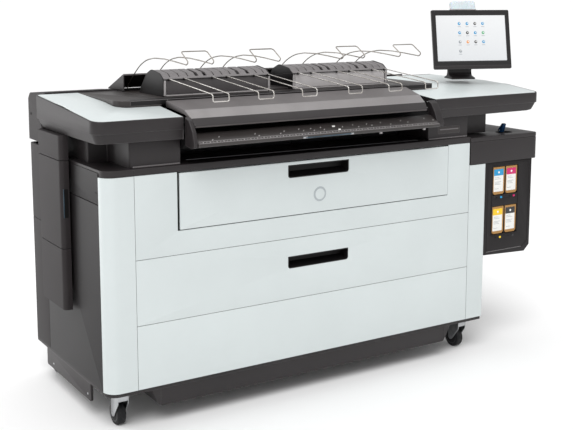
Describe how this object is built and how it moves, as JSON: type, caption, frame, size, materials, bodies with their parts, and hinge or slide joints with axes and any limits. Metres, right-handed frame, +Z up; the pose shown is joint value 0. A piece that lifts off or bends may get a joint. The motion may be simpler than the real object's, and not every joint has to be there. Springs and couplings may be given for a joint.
{
  "type": "large format plotter",
  "caption": "Floor-standing page-wide plotter with scanner, louvred top, wire paper guides, tilting monitor, roll drawers, side ink bay and swivel casters.",
  "frame": {"origin": "on the floor under the middle of the bounding box", "axes": "+Z up, -Y out of the white front, +X towards the ink bay"},
  "size_m": [1.95, 0.8289, 1.4149],
  "materials": {
    "panel_white": "satin moulded",
    "housing_dark": "fine texture",
    "black_plastic": "satin",
    "lid_grey": "semi gloss",
    "steel_frame": "zinc plated sheet",
    "bright_wire": "polished wire",
    "rubber_black": "matte",
    "paper": "wound paper",
    "kraft_card": "printed card",
    "screen_glass": "lit display",
    "beacon_lens": "frosted lens",
    "lever_blue": "satin",
    "zinc_plate": "zinc plated"
  },
  "bodies": {
    "chassis": {"chassis_frame": "steel_frame", "base_pan": "housing_dark", "left_side_panel": "housing_dark", "right_side_panel": "housing_dark", "rear_panel": "housing_dark", "left_column": "panel_white", "right_column": "panel_white", "upper_front_frame": "panel_white", "bottom_front_panel": "panel_white", "front_sill": "housing_dark", "left_pillar": "housing_dark", "right_pillar": "housing_dark", "left_wing_shell": "housing_dark", "left_wing_top": "panel_white", "right_wing_shell": "housing_dark", "right_wing_top": "panel_white", "left_cheek": "lid_grey", "right_cheek": "lid_grey", "scanner_bed": "black_plastic", "feed_table": "housing_dark", "deck": "housing_dark", "louvre_covers": "housing_dark", "rear_wire_guides": "bright_wire", "output_hood": "housing_dark", "side_cover": "housing_dark", "ink_cabinet": "housing_dark", "ink_top_box": "housing_dark", "print_bar": "black_plastic"},
    "upper_drawer": {"upper_drawer_front": "panel_white", "upper_drawer_tray": "steel_frame", "upper_handle_cup": "black_plastic"},
    "lower_drawer": {"lower_drawer_front": "panel_white", "lower_drawer_tray": "steel_frame", "lower_handle_cup": "black_plastic"},
    "lid": {"scanner_lid": "lid_grey"},
    "front_wires": {"front_wire_guides": "bright_wire"},
    "scan_roller": {"scan_roller": "rubber_black"},
    "drive_roller": {"drive_roller": "rubber_black"},
    "neck": {"monitor_neck": "housing_dark"},
    "monitor": {"monitor_housing": "black_plastic", "screen": "screen_glass", "status_beacon": "beacon_lens"},
    "side_door": {"side_door": "housing_dark"},
    "ink_lever": {"ink_lever": "lever_blue"},
    "cartridge_cyan": {"cartridge_cyan": "kraft_card"},
    "cartridge_magenta": {"cartridge_magenta": "kraft_card"},
    "cartridge_yellow": {"cartridge_yellow": "kraft_card"},
    "cartridge_black": {"cartridge_black": "kraft_card"},
    "upper_roll_front": {"upper_roll_front": "paper"},
    "upper_roll_rear": {"upper_roll_rear": "paper"},
    "lower_roll_front": {"lower_roll_front": "paper"},
    "lower_roll_rear": {"lower_roll_rear": "paper"},
    "fork_front_left": {"caster_fork_front_left": "zinc_plate"},
    "wheel_front_left": {"caster_wheel_front_left": "rubber_black"},
    "fork_front_right": {"caster_fork_front_right": "zinc_plate"},
    "wheel_front_right": {"caster_wheel_front_right": "rubber_black"},
    "fork_rear_left": {"caster_fork_rear_left": "zinc_plate"},
    "wheel_rear_left": {"caster_wheel_rear_left": "rubber_black"},
    "fork_rear_right": {"caster_fork_rear_right": "zinc_plate"},
    "wheel_rear_right": {"caster_wheel_rear_right": "rubber_black"}
  },
  "joints": [
    {"name": "upper_drawer_slide", "type": "slide", "parent": "chassis", "child": "upper_drawer", "axis": [0, -1, 0], "range_m": [0, 0.42]},
    {"name": "lower_drawer_slide", "type": "slide", "parent": "chassis", "child": "lower_drawer", "axis": [0, -1, 0], "range_m": [0, 0.42]},
    {"name": "upper_roll_front_spin", "type": "hinge", "parent": "upper_drawer", "child": "upper_roll_front", "pos_m": [-0.088, -0.1785, 0.762], "axis": [1, 0, 0], "continuous": true},
    {"name": "upper_roll_rear_spin", "type": "hinge", "parent": "upper_drawer", "child": "upper_roll_rear", "pos_m": [-0.088, -0.0305, 0.762], "axis": [1, 0, 0], "continuous": true},
    {"name": "lower_roll_front_spin", "type": "hinge", "parent": "lower_drawer", "child": "lower_roll_front", "pos_m": [-0.1135, -0.1685, 0.472], "axis": [1, 0, 0], "continuous": true},
    {"name": "lower_roll_rear_spin", "type": "hinge", "parent": "lower_drawer", "child": "lower_roll_rear", "pos_m": [-0.1135, -0.0005, 0.472], "axis": [1, 0, 0], "continuous": true},
    {"name": "scanner_lid_hinge", "type": "hinge", "parent": "chassis", "child": "lid", "pos_m": [-0.12, -0.147, 1.0815], "axis": [-1, 0, 0], "range_deg": [0, 35]},
    {"name": "front_wire_swing", "type": "hinge", "parent": "chassis", "child": "front_wires", "pos_m": [-0.12, -0.083, 1.147], "axis": [-1, 0, 0], "range_deg": [0, 35]},
    {"name": "scan_roller_spin", "type": "hinge", "parent": "chassis", "child": "scan_roller", "pos_m": [-0.122, -0.2305, 1.017], "axis": [1, 0, 0], "continuous": true},
    {"name": "drive_roller_spin", "type": "hinge", "parent": "chassis", "child": "drive_roller", "pos_m": [-0.122, -0.1105, 0.9045], "axis": [1, 0, 0], "continuous": true},
    {"name": "monitor_swivel", "type": "hinge", "parent": "chassis", "child": "neck", "pos_m": [0.765, -0.0525, 1.0865], "axis": [0, 0, 1], "range_deg": [-60, 60]},
    {"name": "monitor_tilt", "type": "hinge", "parent": "neck", "child": "monitor", "pos_m": [0.77823, -0.08777, 1.20003], "axis": [0.9489, -0.3156, 0], "range_deg": [-12, 15]},
    {"name": "side_door_hinge", "type": "hinge", "parent": "chassis", "child": "side_door", "pos_m": [-0.955, 0.2095, 0.7325], "axis": [0, 0, -1], "range_deg": [0, 95]},
    {"name": "ink_lever_hinge", "type": "hinge", "parent": "chassis", "child": "ink_lever", "pos_m": [0.853, -0.2125, 0.884], "axis": [-1, 0, 0], "range_deg": [0, 60]},
    {"name": "cartridge_cyan_slide", "type": "slide", "parent": "chassis", "child": "cartridge_cyan", "axis": [0, -1, 0], "range_m": [0, 0.2]},
    {"name": "cartridge_magenta_slide", "type": "slide", "parent": "chassis", "child": "cartridge_magenta", "axis": [0, -1, 0], "range_m": [0, 0.2]},
    {"name": "cartridge_yellow_slide", "type": "slide", "parent": "chassis", "child": "cartridge_yellow", "axis": [0, -1, 0], "range_m": [0, 0.2]},
    {"name": "cartridge_black_slide", "type": "slide", "parent": "chassis", "child": "cartridge_black", "axis": [0, -1, 0], "range_m": [0, 0.2]},
    {"name": "swivel_front_left", "type": "hinge", "parent": "chassis", "child": "fork_front_left", "pos_m": [-0.864, -0.2355, 0.1276], "axis": [0, 0, 1], "continuous": true},
    {"name": "roll_front_left", "type": "hinge", "parent": "fork_front_left", "child": "wheel_front_left", "pos_m": [-0.864, -0.2075, 0.04], "axis": [1, 0, 0], "continuous": true},
    {"name": "swivel_front_right", "type": "hinge", "parent": "chassis", "child": "fork_front_right", "pos_m": [0.628, -0.2355, 0.1276], "axis": [0, 0, 1], "continuous": true},
    {"name": "roll_front_right", "type": "hinge", "parent": "fork_front_right", "child": "wheel_front_right", "pos_m": [0.628, -0.2075, 0.04], "axis": [1, 0, 0], "continuous": true},
    {"name": "swivel_rear_left", "type": "hinge", "parent": "chassis", "child": "fork_rear_left", "pos_m": [-0.864, 0.3445, 0.1276], "axis": [0, 0, 1], "continuous": true},
    {"name": "roll_rear_left", "type": "hinge", "parent": "fork_rear_left", "child": "wheel_rear_left", "pos_m": [-0.864, 0.3725, 0.04], "axis": [1, 0, 0], "continuous": true},
    {"name": "swivel_rear_right", "type": "hinge", "parent": "chassis", "child": "fork_rear_right", "pos_m": [0.628, 0.3445, 0.1276], "axis": [0, 0, 1], "continuous": true},
    {"name": "roll_rear_right", "type": "hinge", "parent": "fork_rear_right", "child": "wheel_rear_right", "pos_m": [0.628, 0.3725, 0.04], "axis": [1, 0, 0], "continuous": true}
  ],
  "couplings": [
    {"joint": "front_wire_swing", "follows": "scanner_lid_hinge", "ratio": 1}
  ]
}
